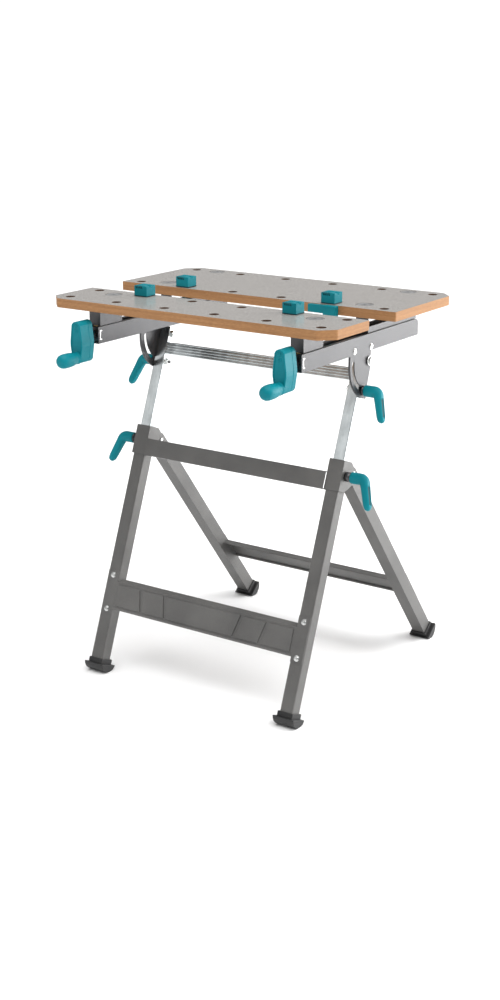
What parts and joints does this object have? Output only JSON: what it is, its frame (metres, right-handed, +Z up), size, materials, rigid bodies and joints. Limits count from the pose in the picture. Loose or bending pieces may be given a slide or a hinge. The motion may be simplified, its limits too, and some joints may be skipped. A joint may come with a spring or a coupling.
{
  "type": "folding sawhorse",
  "caption": "Folding clamping work table on splayed folding legs: sliding jaw board moved by spindle cranks, tilting top, telescoping mast, clamping levers and bench dogs.",
  "frame": {"origin": "on the floor under the middle of the whole object", "axes": "+X along the boards to the right, +Y away from the cranks, +Z up"},
  "size_m": [0.685, 0.6906, 0.8445],
  "materials": {
    "board": "fibreboard, grey laminate on top, raw milled edges",
    "board_disc": "satin grey",
    "frame_paint": "charcoal powder coat",
    "zinc_tube": "bright zinc plate",
    "fastener": "bright zinc plate",
    "dark_steel": "black oxide",
    "nut_brass": "turned",
    "teal_plastic": "moulded, fine texture",
    "black_plastic": "moulded"
  },
  "bodies": {
    "front_frame": {"left_front_leg": "frame_paint", "right_front_leg": "frame_paint", "left_sleeve": "frame_paint", "right_sleeve": "frame_paint", "guide_bushes": "black_plastic", "upper_crossbar": "frame_paint", "front_step_panel": "frame_paint", "front_panel_bolts": "fastener", "hinge_pins": "fastener", "left_front_foot": "black_plastic", "right_front_foot": "black_plastic"},
    "rear_frame": {"left_rear_leg": "frame_paint", "right_rear_leg": "frame_paint", "rear_step_panel": "frame_paint", "rear_panel_bolts": "fastener", "left_rear_foot": "black_plastic", "right_rear_foot": "black_plastic"},
    "mast": {"left_mast_tube": "zinc_tube", "right_mast_tube": "zinc_tube", "mast_crossbar": "zinc_tube", "mast_plugs": "black_plastic", "pivot_bolts": "fastener", "tilt_nuts": "fastener"},
    "table": {"rear_board": "board", "rear_board_screws": "board_disc", "left_rail": "frame_paint", "right_rail": "frame_paint", "left_tilt_plate": "frame_paint", "right_tilt_plate": "frame_paint", "tilt_plate_bolts": "fastener", "left_rear_bracket": "frame_paint", "right_rear_bracket": "frame_paint", "bearing_plates": "fastener", "edge_stop": "teal_plastic"},
    "jaw": {"front_board": "board", "front_board_screws": "board_disc", "left_front_carriage": "frame_paint", "right_front_carriage": "frame_paint", "spindle_nuts": "nut_brass"},
    "left_crank": {"left_spindle": "fastener", "left_crank": "teal_plastic"},
    "right_crank": {"right_spindle": "fastener", "right_crank": "teal_plastic"},
    "left_tilt_clamp": {"left_tilt_bolt": "dark_steel", "left_tilt_lever": "teal_plastic"},
    "right_tilt_clamp": {"right_tilt_bolt": "dark_steel", "right_tilt_lever": "teal_plastic"},
    "left_height_clamp": {"left_height_bolt": "dark_steel", "left_height_lever": "teal_plastic"},
    "right_height_clamp": {"right_height_bolt": "dark_steel", "right_height_lever": "teal_plastic"},
    "front_left_dog": {"front_left_dog": "teal_plastic"},
    "front_right_dog": {"front_right_dog": "teal_plastic"},
    "rear_left_dog": {"rear_left_dog": "teal_plastic"},
    "rear_right_dog": {"rear_right_dog": "teal_plastic"}
  },
  "joints": [
    {"name": "rear_leg_fold", "type": "hinge", "parent": "front_frame", "child": "rear_frame", "pos_m": [0, -0.03704, 0.48212], "axis": [1, 0, 0], "range_deg": [-58, 0]},
    {"name": "height_slide", "type": "slide", "parent": "front_frame", "child": "mast", "axis": [0, 0.3584, 0.9336], "range_m": [-0.1, 0.03]},
    {"name": "table_tilt", "type": "hinge", "parent": "mast", "child": "table", "pos_m": [0, 0.01669, 0.71], "axis": [1, 0, 0], "range_deg": [0, 62]},
    {"name": "left_crank_spin", "type": "hinge", "parent": "table", "child": "left_crank", "pos_m": [-0.2475, -0.27231, 0.7485], "axis": [0, 1, 0], "range_deg": [-1, 7561]},
    {"name": "right_crank_spin", "type": "hinge", "parent": "table", "child": "right_crank", "pos_m": [0.2475, -0.27231, 0.7485], "axis": [0, 1, 0], "range_deg": [-1, 7561]},
    {"name": "jaw_slide", "type": "slide", "parent": "table", "child": "jaw", "axis": [0, 1, 0], "range_m": [0, 0.084]},
    {"name": "left_tilt_lever", "type": "hinge", "parent": "mast", "child": "left_tilt_clamp", "pos_m": [-0.2475, -0.00553, 0.65212], "axis": [-1, 0, 0], "range_deg": [0, 100]},
    {"name": "right_tilt_lever", "type": "hinge", "parent": "mast", "child": "right_tilt_clamp", "pos_m": [0.2475, -0.00553, 0.65212], "axis": [1, 0, 0], "range_deg": [0, 100]},
    {"name": "left_height_lever", "type": "hinge", "parent": "front_frame", "child": "left_height_clamp", "pos_m": [-0.2475, -0.06932, 0.48594], "axis": [-1, 0, 0], "range_deg": [0, 100]},
    {"name": "right_height_lever", "type": "hinge", "parent": "front_frame", "child": "right_height_clamp", "pos_m": [0.2475, -0.06932, 0.48594], "axis": [1, 0, 0], "range_deg": [0, 100]},
    {"name": "front_left_dog_turn", "type": "hinge", "parent": "jaw", "child": "front_left_dog", "pos_m": [-0.183, -0.14381, 0.822], "axis": [0, 0, 1], "continuous": true},
    {"name": "front_right_dog_turn", "type": "hinge", "parent": "jaw", "child": "front_right_dog", "pos_m": [0.183, -0.14381, 0.822], "axis": [0, 0, 1], "continuous": true},
    {"name": "rear_left_dog_turn", "type": "hinge", "parent": "table", "child": "rear_left_dog", "pos_m": [-0.183, 0.00019, 0.822], "axis": [0, 0, 1], "continuous": true},
    {"name": "rear_right_dog_turn", "type": "hinge", "parent": "table", "child": "rear_right_dog", "pos_m": [0.183, 0.00019, 0.822], "axis": [0, 0, 1], "continuous": true}
  ],
  "couplings": [
    {"joint": "left_crank_spin", "follows": "jaw_slide", "rad_per_m": 1570.8},
    {"joint": "right_crank_spin", "follows": "jaw_slide", "rad_per_m": 1570.8}
  ]
}
